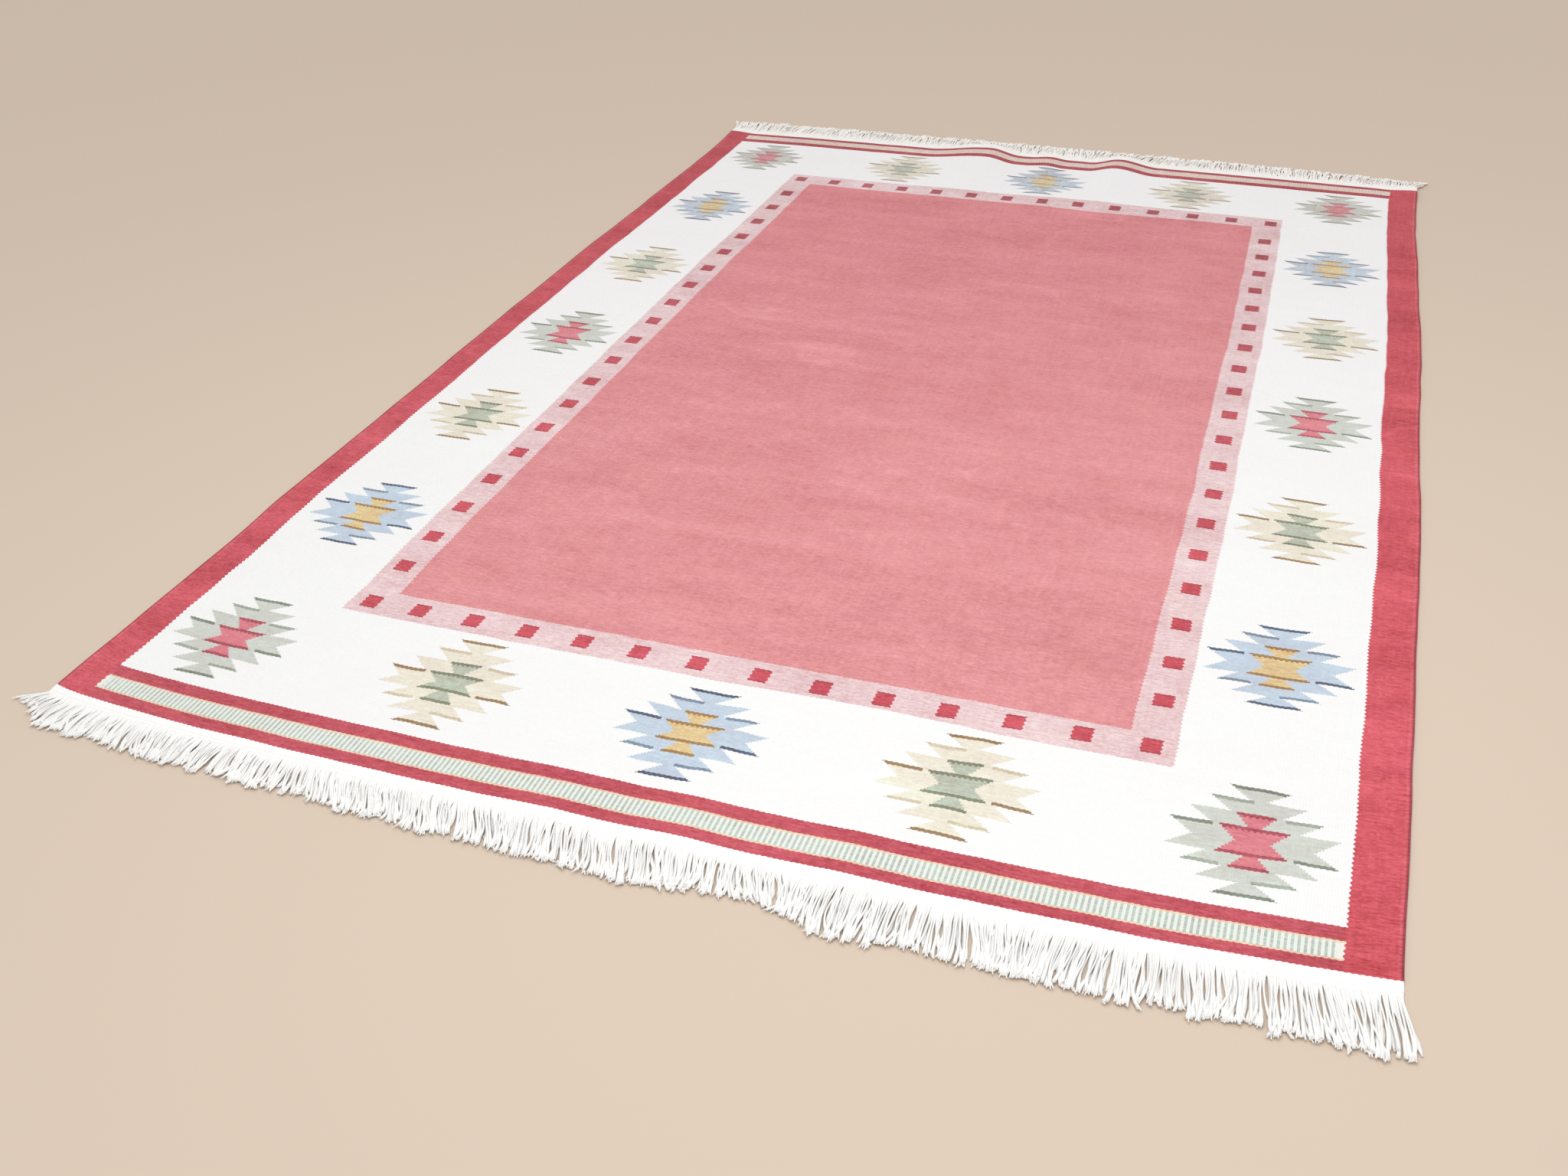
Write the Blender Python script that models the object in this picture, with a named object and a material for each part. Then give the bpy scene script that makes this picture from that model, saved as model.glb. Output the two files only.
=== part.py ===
"""A rölakan rug lying on a floor: one flat-woven wool cloth with a cotton warp fringe at each end.

X runs across the rug, Y along its warp to the far end and Z up. The origin is the middle of the
underside, at floor level. Sizes are in metres.
"""

import math
import random

import bmesh
import bpy

CLOTH_THICKNESS = 0.003
HALF_BODY = 1.4945  # from the middle to the outer edge of the red end stripe, along a selvedge
HEADING = 0.027  # plain white weave past the end stripe
FRINGE_STRIP = 0.007  # the last of the heading, which carries the warp ends
PIECE_GAP = 0.0003
CLOTH_END = HALF_BODY + HEADING - FRINGE_STRIP - PIECE_GAP
STRIP_START = HALF_BODY + HEADING - FRINGE_STRIP
STRIP_END = HALF_BODY + HEADING
STRIP_THICKNESS = 0.0034

NEAR_BOW, FAR_BOW = 0.0275, 0.0135  # how far an end's middle stands past its corners
FAR_SKEW = -0.010  # the far end runs out of square, per metre across

# The selvedges as they lie: place along the rug, left edge, right edge
SELVEDGES = (
    (-1.50, -0.994, 0.997),
    (-1.10, -0.998, 1.005),
    (-0.85, -1.005, 1.009),
    (-0.40, -1.004, 1.015),
    (0.00, -1.007, 1.012),
    (0.40, -1.005, 1.014),
    (0.85, -0.997, 1.006),
    (1.20, -0.991, 0.999),
    (1.50, -0.992, 1.000),
)

# Folds that run in from an end along the warp:
# end (-1 near, 1 far), middle, height, left half width, right half width, reach from the end
FOLDS = (
    (1, -0.180, 0.0168, 0.190, 0.092, 0.42),
    (1, -0.005, 0.0055, 0.060, 0.055, 0.30),
    (1, 0.198, 0.0157, 0.085, 0.108, 0.40),
    (1, -0.990, 0.0050, 0.060, 0.080, 0.12),
    (1, 0.998, 0.0050, 0.080, 0.060, 0.12),
    (-1, -0.130, 0.0026, 0.110, 0.075, 0.24),
    (-1, 0.060, 0.0030, 0.090, 0.100, 0.26),
    (-1, 0.300, 0.0024, 0.090, 0.090, 0.22),
)

# Columns of the woven cloth: they are close together where the folds run
COLUMN_RUNS = ((-1.0, -0.88, 4), (-0.88, -0.40, 4), (-0.40, 0.34, 37), (0.34, 0.88, 5), (0.88, 1.0, 4))
ROW_RUNS = ((-CLOTH_END, -1.23, 5), (-1.23, 1.08, 16), (1.08, CLOTH_END, 9))

STRANDS_PER_END = 130
STRAND_COVER = 0.72  # a strand's width at its root, as a part of the pitch
STRAND_HEIGHT = 0.0029
TIP_TAPER, TIP_DROP = 0.30, 0.40  # how much narrower and lower a strand is at its tip
STRAND_RINGS = (0.0, 0.22, 0.48, 0.75, 1.0)
SETTLE = 0.045  # a strand that starts on a fold is down on the floor this far out
LENGTH_JITTER = 0.007
SWAY = 0.0011
TUFT_SIZES = (3, 7)  # fewest and most strands that lean together
TUFT_SQUEEZE = 0.60  # spacing of the tips in a tuft, as a part of the pitch
TUFT_GAPS = (0.9, 2.3)  # spacing between two tufts' tips, as parts of the pitch
FLARE_FADE = 0.07  # how far in from a corner the splay fades
LEAN_START, LEAN_RATE = 0.15, 0.70  # the part of a smooth curve that a strand's lean follows

# Strand length at places across the rug, and how far the outermost strands splay out past the corners
NEAR_LENGTHS = ((-1.0, 0.050), (-0.90, 0.072), (-0.2, 0.077), (0.1, 0.085), (0.5, 0.089), (1.0, 0.090))
FAR_LENGTHS = ((-1.0, 0.086), (-0.2, 0.086), (0.4, 0.082), (1.0, 0.066))
NEAR_FLARE = (-0.036, 0.022)
FAR_FLARE = (-0.012, 0.034)


def ease(share):
    """Goes from 0 to 1, level at both ends."""
    share = min(max(share, 0.0), 1.0)
    return share * share * (3 - 2 * share)


def between(rows, place, column=1):
    """Reads a table's column at a place, moving smoothly from one row to the next."""
    if place <= rows[0][0]:
        return rows[0][column]
    for low, high in zip(rows, rows[1:]):
        if place <= high[0]:
            step = ease((place - low[0]) / (high[0] - low[0]))
            return low[column] + (high[column] - low[column]) * step
    return rows[-1][column]


def lies_at(across, along):
    """Where a point of the cloth lies on the floor: across runs from -1 to 1, along is in metres."""
    edge = between(SELVEDGES, along, 2 if across > 0 else 1)
    x = abs(across) * edge
    reach = min(abs(along) / HALF_BODY, 1.0)
    bow = (FAR_BOW if along > 0 else NEAR_BOW) * reach**3 * (1 - across**4)
    y = along + math.copysign(bow, along)
    if along > 0:
        y += FAR_SKEW * x * reach**2
    return x, y


def fold_height(x, along):
    """How far the folds lift the underside off the floor."""
    height = 0.0
    for end, middle, top, left, right, reach in FOLDS:
        side = (x - middle) / (right if x > middle else left)
        if abs(side) < 1:
            fade = 1 - ease((HALF_BODY - end * along) / reach)
            height += top * (0.5 + 0.5 * math.cos(math.pi * side)) * fade
    return height


def stations(runs):
    """Places along a line: each run is its start, its end and its number of steps."""
    places = [runs[0][0]]
    for start, end, steps in runs:
        places += [start + (end - start) * step / steps for step in range(1, steps + 1)]
    return places


def finish_piece(name, mesh_data, material):
    bmesh.ops.recalc_face_normals(mesh_data, faces=mesh_data.faces)
    mesh = bpy.data.meshes.new(name)
    mesh_data.to_mesh(mesh)
    mesh_data.free()
    mesh.materials.append(material)
    piece = bpy.data.objects.new(name, mesh)
    bpy.context.scene.collection.objects.link(piece)
    return piece


def make_rug(material):
    """The woven cloth: a top and an underside a cloth's thickness apart, closed along the edge."""
    shape = bmesh.new()
    columns, rows = stations(COLUMN_RUNS), stations(ROW_RUNS)
    under, over = [], []
    for along in rows:
        points = [lies_at(across, along) for across in columns]
        lifts = [fold_height(x, along) for x, y in points]
        under.append([shape.verts.new((x, y, z)) for (x, y), z in zip(points, lifts)])
        over.append(
            [shape.verts.new((x, y, z + CLOTH_THICKNESS)) for (x, y), z in zip(points, lifts)]
        )
    for skin in (under, over):
        for row, next_row in zip(skin, skin[1:]):
            for i in range(len(columns) - 1):
                shape.faces.new((row[i], row[i + 1], next_row[i + 1], next_row[i]))
    rims = (
        (under[0], over[0]),
        (under[-1], over[-1]),
        ([row[0] for row in under], [row[0] for row in over]),
        ([row[-1] for row in under], [row[-1] for row in over]),
    )
    for low, high in rims:
        for i in range(len(low) - 1):
            shape.faces.new((low[i], low[i + 1], high[i + 1], high[i]))
    return finish_piece("rug", shape, material)


def zip_chains(shape, first, second):
    """Fills between two chains of points that both run along X, with triangles."""
    i = j = 0
    while i < len(first) - 1 or j < len(second) - 1:
        step_first = j == len(second) - 1 or (
            i < len(first) - 1 and first[i + 1].co.x <= second[j + 1].co.x
        )
        if step_first:
            shape.faces.new((first[i], first[i + 1], second[j]))
            i += 1
        else:
            shape.faces.new((first[i], second[j + 1], second[j]))
            j += 1


def tip_places(end, pitch, chance):
    """Where the strands' tips would be if each were full length: in tufts, and in the roots' order."""
    steps = []
    while len(steps) < STRANDS_PER_END - 1:
        steps += [TUFT_SQUEEZE] * (chance.randint(*TUFT_SIZES) - 1)
        steps.append(chance.uniform(*TUFT_GAPS))
    steps = steps[: STRANDS_PER_END - 1]
    scale = pitch * (STRANDS_PER_END - 1) / sum(steps)
    places = [0.0]
    for step in steps:
        places.append(places[-1] + step * scale)
    left, right = NEAR_FLARE if end < 0 else FAR_FLARE
    width = places[-1]
    middle = width / 2
    return [
        place - middle + left * math.exp(-place / FLARE_FADE) + right * math.exp((place - width) / FLARE_FADE)
        for place in places
    ]


def make_fringe(name, end, material, seed):
    """The warp ends at one end of the rug, as three-sided strands fused to the heading's last strip."""
    shape = bmesh.new()
    chance = random.Random(seed)
    lengths = NEAR_LENGTHS if end < 0 else FAR_LENGTHS

    def lay(across, along, over=0.0):
        x, y = lies_at(across, end * along)
        return shape.verts.new((x, y, fold_height(x, end * along) + over))

    columns = stations(COLUMN_RUNS)
    back_low = [lay(across, STRIP_START) for across in columns]
    back_high = [lay(across, STRIP_START, STRIP_THICKNESS) for across in columns]
    front_low = [lay(-1, STRIP_END)]
    front_high = [lay(-1, STRIP_END, STRIP_THICKNESS)]

    pitch = 2.0 / STRANDS_PER_END
    half = pitch * STRAND_COVER / 2
    tips = tip_places(end, pitch, chance)
    longest = max(length for place, length in lengths)
    for strand in range(STRANDS_PER_END):
        across = -1 + pitch * (strand + 0.5)
        middle = lies_at(across, end * STRIP_END)[0]
        splay = tips[strand] - across
        length = between(lengths, middle) + chance.uniform(-LENGTH_JITTER, LENGTH_JITTER)
        sway = chance.uniform(-SWAY, SWAY)
        rings = []
        for share in STRAND_RINGS:
            out = length * share
            lean = splay * (ease(LEAN_START + LEAN_RATE * out / longest) - ease(LEAN_START))
            shift = lean + sway * math.sin(2 * math.pi * share)
            width = half * (1 - TIP_TAPER * share)
            height = STRAND_HEIGHT * (1 - TIP_DROP * share)
            ring = []
            for side, top in ((-width, 0.0), (width, 0.0), (0.0, height)):
                x, y = lies_at(across + side, end * STRIP_END)
                z = fold_height(x, end * STRIP_END) * (1 - ease(out / SETTLE))
                ring.append(shape.verts.new((x + shift, y + end * out, z + top)))
            rings.append(ring)
        for ring, next_ring in zip(rings, rings[1:]):
            for a in range(3):
                b = (a + 1) % 3
                shape.faces.new((ring[a], ring[b], next_ring[b], next_ring[a]))
        shape.faces.new(rings[-1])

        left, right, top = rings[0]
        above = lay(across, STRIP_END, STRIP_THICKNESS)
        shape.faces.new((front_low[-1], left, above, front_high[-1]))
        shape.faces.new((left, top, above))
        shape.faces.new((top, right, above))
        front_low += [left, right]
        front_high.append(above)

    last_low, last_high = lay(1, STRIP_END), lay(1, STRIP_END, STRIP_THICKNESS)
    shape.faces.new((front_low[-1], last_low, last_high, front_high[-1]))
    front_low.append(last_low)
    front_high.append(last_high)
    for i in range(len(columns) - 1):
        shape.faces.new((back_low[i], back_low[i + 1], back_high[i + 1], back_high[i]))
    zip_chains(shape, back_low, front_low)
    zip_chains(shape, back_high, front_high)
    for i in (0, -1):
        shape.faces.new((back_low[i], front_low[i], front_high[i], back_high[i]))
    return finish_piece(name, shape, material)


def make_material(name, colour, roughness):
    material = bpy.data.materials.new(name)
    material.diffuse_color = (*colour, 1)
    material.use_nodes = True
    shader = material.node_tree.nodes["Principled BSDF"]
    shader.inputs["Base Color"].default_value = (*colour, 1)
    shader.inputs["Roughness"].default_value = roughness
    shader.inputs["Metallic"].default_value = 0.0
    return material


for old in list(bpy.data.objects):
    bpy.data.objects.remove(old)

wool = make_material("rose wool weave", (0.74, 0.27, 0.29), 0.92)
near_cotton = make_material("near cotton warp", (0.86, 0.84, 0.80), 0.90)
far_cotton = make_material("far cotton warp", (0.86, 0.84, 0.80), 0.90)

make_rug(wool)
make_fringe("fringe_near", -1, near_cotton, seed=5)
make_fringe("fringe_far", 1, far_cotton, seed=11)
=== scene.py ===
"""A rölakan rug laid out flat: one flat-woven wool cloth with a cotton warp fringe at each end.

X runs across the rug, Y along its warp to the far end and Z up. The origin is the middle of the
underside, at floor level. Sizes are in metres.
"""

import math
import random
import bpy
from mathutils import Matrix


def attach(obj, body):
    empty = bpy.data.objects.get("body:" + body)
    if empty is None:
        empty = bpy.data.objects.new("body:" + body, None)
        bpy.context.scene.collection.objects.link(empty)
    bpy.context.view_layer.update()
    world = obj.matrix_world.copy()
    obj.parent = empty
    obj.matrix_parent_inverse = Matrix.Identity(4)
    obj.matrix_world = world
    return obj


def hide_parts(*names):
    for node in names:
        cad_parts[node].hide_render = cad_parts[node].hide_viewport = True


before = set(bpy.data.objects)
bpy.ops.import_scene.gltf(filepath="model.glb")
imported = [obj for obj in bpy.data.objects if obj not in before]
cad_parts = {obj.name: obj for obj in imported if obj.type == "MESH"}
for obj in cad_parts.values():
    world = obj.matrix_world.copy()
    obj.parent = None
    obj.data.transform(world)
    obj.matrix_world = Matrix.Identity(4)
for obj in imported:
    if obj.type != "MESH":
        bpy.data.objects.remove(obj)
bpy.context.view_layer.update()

from types import SimpleNamespace

import bpy
from mathutils import Matrix, Vector, noise

# The woven cloth
# One cloth of wool weft packed down over a cotton warp, so that the warp shows only as fine ribs.
# It lies loose on the floor, with two folds standing up at the far end and slightly bowed ends.
# A white heading without colour closes each end, and each selvedge is bound by the turning weft.

CLOTH_THICKNESS = 0.003
HALF_BODY = 1.4945  # from the middle to the outer edge of the red end stripe, along a selvedge
HEADING = 0.027
FRINGE_STRIP = 0.007  # the last of the heading, which goes with the warp ends
PIECE_GAP = 0.0003
CLOTH_END = HALF_BODY + HEADING - FRINGE_STRIP - PIECE_GAP
NEAR_BOW, FAR_BOW = 0.0275, 0.0135  # how far an end's middle stands past its corners
FAR_SKEW = -0.010  # the far end runs out of square, per metre across
NEAR_TUCK, TUCK_FADE = 0.006, 0.035  # the near left corner lies further in, which soon fades

# The selvedges as they lie: place along the rug, left edge, right edge
SELVEDGES = (
    (-1.50, -0.9975, 0.999),
    (-1.10, -0.998, 1.006),
    (-0.85, -1.005, 1.009),
    (-0.40, -1.004, 1.015),
    (0.00, -1.007, 1.012),
    (0.40, -1.005, 1.014),
    (0.85, -0.997, 1.006),
    (1.20, -0.991, 0.999),
    (1.50, -0.992, 1.000),
)

# Folds that run in from an end along the warp:
# end (-1 near, 1 far), middle, height, left half width, right half width, reach from the end
FOLDS = (
    (1, -0.180, 0.0168, 0.190, 0.092, 0.42),
    (1, -0.005, 0.0055, 0.060, 0.055, 0.30),
    (1, 0.198, 0.0157, 0.085, 0.108, 0.40),
    (1, -0.990, 0.0050, 0.060, 0.080, 0.12),
    (1, 0.998, 0.0050, 0.080, 0.060, 0.12),
    (-1, -0.130, 0.0026, 0.110, 0.075, 0.24),
    (-1, 0.060, 0.0030, 0.090, 0.100, 0.26),
    (-1, 0.300, 0.0024, 0.090, 0.090, 0.22),
)

SELVEDGE_WIDTH = 0.006  # the last warps, which the turning weft makes thicker
SELVEDGE_RISE, SELVEDGE_PROUD = 0.0006, 0.0012
SELVEDGE_WANDER, WANDER_SPOTS = 0.0016, 11  # how far it strays, and how many times a metre
PUCKER_RISE = 0.0016  # how far the loose middle of the cloth stands off the floor in places
PUCKER_END, PUCKER_FADE = 1.30, 0.18
BROAD_SHARE, SMALL_SHARE = 0.65, 0.35
SWELLING = (0.12, 1.16, 0.0036, 0.26, 0.13)  # across, along, height, half width, half length
ROW_STEP = 0.0142
END_ROWS = (0.0, 0.0010, 0.0035)  # rows of points close to an end, which keep its edge crisp
SELVEDGE_COLUMNS = (1.0, 0.9985, 0.9962, 0.9925, 0.984)
INNER_COLUMNS = 138
BAKE_MARGIN = 0.004


def ease(share):
    """Goes from 0 to 1, level at both ends."""
    share = min(max(share, 0.0), 1.0)
    return share * share * (3 - 2 * share)


def between(rows, place, column=1):
    """Reads a table's column at a place, moving smoothly from one row to the next."""
    if place <= rows[0][0]:
        return rows[0][column]
    for low, high in zip(rows, rows[1:]):
        if place <= high[0]:
            step = ease((place - low[0]) / (high[0] - low[0]))
            return low[column] + (high[column] - low[column]) * step
    return rows[-1][column]


def lies_at(across, along):
    """Where a point of the cloth lies on the floor: across runs from -1 to 1, along is in metres."""
    edge = between(SELVEDGES, along, 2 if across > 0 else 1)
    own_noise = 7.0 if across > 0 else -7.0
    wander = SELVEDGE_WANDER * noise.noise(Vector((own_noise, along * WANDER_SPOTS, 0.5)))
    x = abs(across) * edge + across**5 * wander
    reach = min(abs(along) / HALF_BODY, 1.0)
    bow = (FAR_BOW if along > 0 else NEAR_BOW) * reach**3 * (1 - across**4)
    y = along + math.copysign(bow, along)
    if along > 0:
        y += FAR_SKEW * x * reach**2
    else:
        y += NEAR_TUCK * reach**3 * math.exp(-(1 + across) / TUCK_FADE)
    return x, y


def fold_height(x, along):
    """How far the folds lift the underside off the floor."""
    height = 0.0
    for end, middle, top, left, right, reach in FOLDS:
        side = (x - middle) / (right if x > middle else left)
        if abs(side) < 1:
            fade = 1 - ease((HALF_BODY - end * along) / reach)
            height += top * (0.5 + 0.5 * math.cos(math.pi * side)) * fade
    return height


def pucker(across, along):
    """Low swellings where the loose cloth doesn't quite touch the floor."""
    inside = 1 - ease((abs(along) - PUCKER_END) / PUCKER_FADE)
    broad = noise.noise(Vector((across * 3.1, along * 2.3, 3.7)))
    small = noise.noise(Vector((across * 10.0, along * 8.0, 9.2)))
    middle_across, middle_along, top, half_width, half_length = SWELLING
    away = math.hypot((across - middle_across) / half_width, (along - middle_along) / half_length)
    swelling = top * (1 - ease(away))
    loose = BROAD_SHARE * max(broad, 0.0) + SMALL_SHARE * max(small, 0.0)
    return swelling + PUCKER_RISE * inside * loose


def cloth_columns():
    """Places across the cloth, from -1 to 1, closer together at the selvedges."""
    step = 2 * SELVEDGE_COLUMNS[-1] / INNER_COLUMNS
    inner = [-SELVEDGE_COLUMNS[-1] + step * i for i in range(1, INNER_COLUMNS)]
    return [-place for place in SELVEDGE_COLUMNS] + inner + list(reversed(SELVEDGE_COLUMNS))


def make_cloth():
    """A top and an underside a cloth's thickness apart, closed by a rounded rim."""
    columns = cloth_columns()
    steps = round(2 * CLOTH_END / ROW_STEP)
    inner_rows = [-CLOTH_END + 2 * CLOTH_END * i / steps for i in range(1, steps)]
    near_rows = [inset - CLOTH_END for inset in END_ROWS]
    rows = near_rows + inner_rows + [-along for along in reversed(near_rows)]
    points, flat_places = [], []
    for over in (0, 1):
        for along in rows:
            for across in columns:
                x, y = lies_at(across, along)
                z = fold_height(x, along) + pucker(across, along)
                cord = 1 - ease((1 - abs(across)) / SELVEDGE_WIDTH)
                z += over * (CLOTH_THICKNESS + SELVEDGE_RISE * cord)
                points.append((x, y, z))
                flat_places.append((across, along))
    wide, skin = len(columns), len(columns) * len(rows)
    faces = []
    for j in range(len(rows) - 1):
        for i in range(wide - 1):
            a = j * wide + i
            faces.append((a, a + wide, a + wide + 1, a + 1))
            a += skin
            faces.append((a, a + 1, a + wide + 1, a + wide))

    # Going round the edge, a row of points at half height stands a little proud at the selvedges
    near = list(range(wide))
    right = [wide * j + wide - 1 for j in range(1, len(rows))]
    far = [skin - 1 - i for i in range(1, wide)]
    left = [wide * (len(rows) - 1 - j) for j in range(1, len(rows) - 1)]
    loop = near + right + far + left
    first_rim = len(points)
    for corner in loop:
        low, high = points[corner], points[corner + skin]
        across, along = flat_places[corner]
        proud = SELVEDGE_PROUD if abs(across) == 1.0 else 0.0
        points.append((low[0] + math.copysign(proud, across), low[1], (low[2] + high[2]) / 2))
        flat_places.append((across, along))
    for k, corner in enumerate(loop):
        after = loop[(k + 1) % len(loop)]
        rim, rim_after = first_rim + k, first_rim + (k + 1) % len(loop)
        faces.append((corner, after, rim_after, rim))
        faces.append((rim, rim_after, after + skin, corner + skin))

    mesh = bpy.data.meshes.new("rug_cloth")
    mesh.from_pydata(points, [], faces)
    mesh.shade_smooth()
    for face in mesh.polygons[-2 * len(loop):]:
        face.use_smooth = any(abs(flat_places[corner][0]) == 1.0 for corner in face.vertices)
    woven = mesh.uv_layers.new(name="woven")  # metres on the loom, which the pattern is laid out in
    baked = mesh.uv_layers.new(name="OFBake")  # the top and the underside share one whole image
    for loop_corner in mesh.loops:
        across, along = flat_places[loop_corner.vertex_index]
        woven.data[loop_corner.index].uv = (across, along)
        rim = loop_corner.vertex_index >= first_rim
        edge = 0.0 if rim else BAKE_MARGIN
        share = ((across + 1) / 2, (along / CLOTH_END + 1) / 2)
        baked.data[loop_corner.index].uv = [edge + (1 - 2 * edge) * part for part in share]
    piece = bpy.data.objects.new("rug_cloth", mesh)
    bpy.context.scene.collection.objects.link(piece)
    return piece


class Signal:
    """A socket of a material's nodes that can be used in ordinary sums."""

    def __init__(self, socket):
        self.socket = socket

    def node(self, kind, settings=None, output=0, **sockets):
        """Adds a node of any kind. A socket is named s and its number, and takes a value or a Signal."""
        tree = self.socket.id_data
        made = tree.nodes.new(kind)
        for name, setting in (settings or {}).items():
            setattr(made, name, setting)
        for name, value in sockets.items():
            entry = made.inputs[int(name[1:])]
            if isinstance(value, Signal):
                tree.links.new(value.socket, entry)
            else:
                entry.default_value = value
        return Signal(made.outputs[output])

    def has_parts(self):
        return self.socket.type != "VALUE"

    def work(self, operation, first, second=0.0):
        """One step of arithmetic, on numbers or on colours and vectors."""
        sides = [first, second]
        if any(isinstance(side, Signal) and side.has_parts() for side in sides):
            sides = [(side,) * 3 if isinstance(side, (int, float)) else side for side in sides]
            return self.node("ShaderNodeVectorMath", {"operation": operation}, s0=sides[0], s1=sides[1])
        return self.node("ShaderNodeMath", {"operation": operation}, s0=sides[0], s1=sides[1])

    def __add__(self, other):
        return self.work("ADD", self, other)

    def __radd__(self, other):
        return self.work("ADD", other, self)

    def __sub__(self, other):
        return self.work("SUBTRACT", self, other)

    def __rsub__(self, other):
        return self.work("SUBTRACT", other, self)

    def __mul__(self, other):
        return self.work("MULTIPLY", self, other)

    def __rmul__(self, other):
        return self.work("MULTIPLY", other, self)

    def __truediv__(self, other):
        return self.work("DIVIDE", self, other)

    def __mod__(self, other):
        return self.work("FLOORED_MODULO", self, other)

    def __lt__(self, other):
        return self.work("LESS_THAN", self, other)

    def __gt__(self, other):
        return self.work("GREATER_THAN", self, other)

    def __abs__(self):
        return self.work("ABSOLUTE", self)

    def at_least(self, other):
        return self.work("MAXIMUM", self, other)

    def at_most(self, other):
        return self.work("MINIMUM", self, other)

    def rounded(self):
        return self.work("ROUND", self)

    def sine(self):
        return self.work("SINE", self)

    def clipped(self):
        """Kept between 0 and 1."""
        return self.at_least(0.0).at_most(1.0)

    def blend(self, under, over, share):
        """One colour with another over it where the share is 1."""
        pair = [side if isinstance(side, Signal) else (*side, 1.0) for side in (under, over)]
        settings = {"data_type": "RGBA"}
        return self.node("ShaderNodeMix", settings, output=2, s0=share, s6=pair[0], s7=pair[1])

    def to(self, other, share):
        """This colour with another over it where the share is 1."""
        return self.blend(self, other, share)


def new_finish(name, sheen, specular, roughness):
    """A material with its shader, and a place to start its sums from."""
    material = bpy.data.materials.new(name)
    material.use_nodes = True
    shader = material.node_tree.nodes["Principled BSDF"]
    shader.inputs["Sheen Weight"].default_value = sheen
    shader.inputs["Sheen Roughness"].default_value = 0.6
    shader.inputs["Specular IOR Level"].default_value = specular
    shader.inputs["Roughness"].default_value = roughness
    return material, shader, Signal(shader.outputs[0])


BUMP_STRENGTH = 0.5


def dress(shader, colour, height, deep):
    """Gives a shader its colour, and bumps as deep as the last number says."""
    bump = colour.node("ShaderNodeBump", s0=BUMP_STRENGTH, s1=deep, s3=height)
    links = shader.id_data.links
    links.new(colour.socket, shader.inputs["Base Color"])
    links.new(bump.socket, shader.inputs["Normal"])


def streaks(place, wide, long, seed=0.0, detail=2.0):
    """Smooth noise from about -0.5 to 0.5, with its own number of spots per metre each way."""
    across, along = place
    spot = across.node("ShaderNodeCombineXYZ", s0=across * wide, s1=along * long, s2=seed)
    return across.node("ShaderNodeTexNoise", s0=spot, s2=1.0, s3=detail) - 0.5


def chance_of(across, along):
    """A fixed random number from -0.5 to 0.5 for each whole pair of numbers."""
    pair = across.node("ShaderNodeCombineXYZ", s0=across.rounded(), s1=along.rounded())
    return across.node("ShaderNodeTexWhiteNoise", {"noise_dimensions": "2D"}, s0=pair) - 0.5


LIT_WHITE = 0.88  # how light a surface is, to how light it shows near the camera


def seen(red, green, blue):
    """A colour as it shows near the camera, from 0 to 255, as the shader's own numbers."""
    return tuple(LIT_WHITE * ((part / 255 + 0.055) / 1.055) ** 2.4 for part in (red, green, blue))


# The loom: warp and weft, and how far their lines stray
WARP_PITCH = 0.00405
WARP_STEP = 0.0008  # how far a weft line steps from one warp to the next
TOOTH_PITCH, TOOTH_DEPTH = 0.0096, 0.0065  # two wools that meet turn about each other in teeth
LINE_WANDER, LINE_WAVER, JOIN_DRIFT = 0.006, 0.003, 0.010
SLACK, SLACK_END = 0.019, 1.2
DESIGN_SHIFT = 0.0035  # the whole design stands a little left of the cloth's middle
FAR_FROM, FAR_OVER = -0.6, 1.7  # where colours begin to change to their far ones, which hold painted light and shade and the motifs' far mix, and over how far


def lay_out(start):
    """Where each point is in the weave, with the small unevenness of its lines."""
    woven = start.node("ShaderNodeUVMap", {"uv_map": "woven"})
    across = start.node("ShaderNodeSeparateXYZ", output=0, s0=woven)
    along = start.node("ShaderNodeSeparateXYZ", output=1, s0=woven)
    place = (across, along)

    # Weft lines wander a little and step from warp to warp, and upright joins have teeth
    every_other = (across % (2 * WARP_PITCH)) < WARP_PITCH
    wander = streaks(place, 5.0, 1.4, 4.0) * LINE_WANDER
    waver = streaks(place, 22.0, 9.0, 5.0) * LINE_WAVER
    line = along + wander + waver + every_other * WARP_STEP
    tooth = abs(along % TOOTH_PITCH - TOOTH_PITCH / 2) / TOOTH_PITCH
    drift = streaks(place, 2.0, 7.0, 8.0) * JOIN_DRIFT
    join = across + DESIGN_SHIFT + (tooth - 0.25) * TOOTH_DEPTH + drift

    # The loom's rows are a little closer together towards the near end than at the far one
    slack = (1.0 - line * line / SLACK_END**2).at_least(0.0) * SLACK
    return SimpleNamespace(
        place=place,
        across=across,
        along=along,
        every_other=every_other,
        join=join,
        side=abs(join),
        left=join < 0.0,
        end=abs(line),
        near=along < 0.0,
        slack=slack,
        stretched=line + slack,
        farness=((along - FAR_FROM) / FAR_OVER).clipped(),
    )


# The white border's motifs. Where a colour has two values, the second is the one at the far end; for the
# white, the rose and the reds that change is painted light and painted shade along the rug
# Painted light: the white is made lighter towards the far end
WHITE, FAR_PAINTED_LIGHT_WHITE = seen(254, 254, 254), seen(257, 255, 256)
FAR_MIX, FAR_MIX_SHARE = seen(204, 192, 186), 0.26  # what all of a motif's wools fade to

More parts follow.
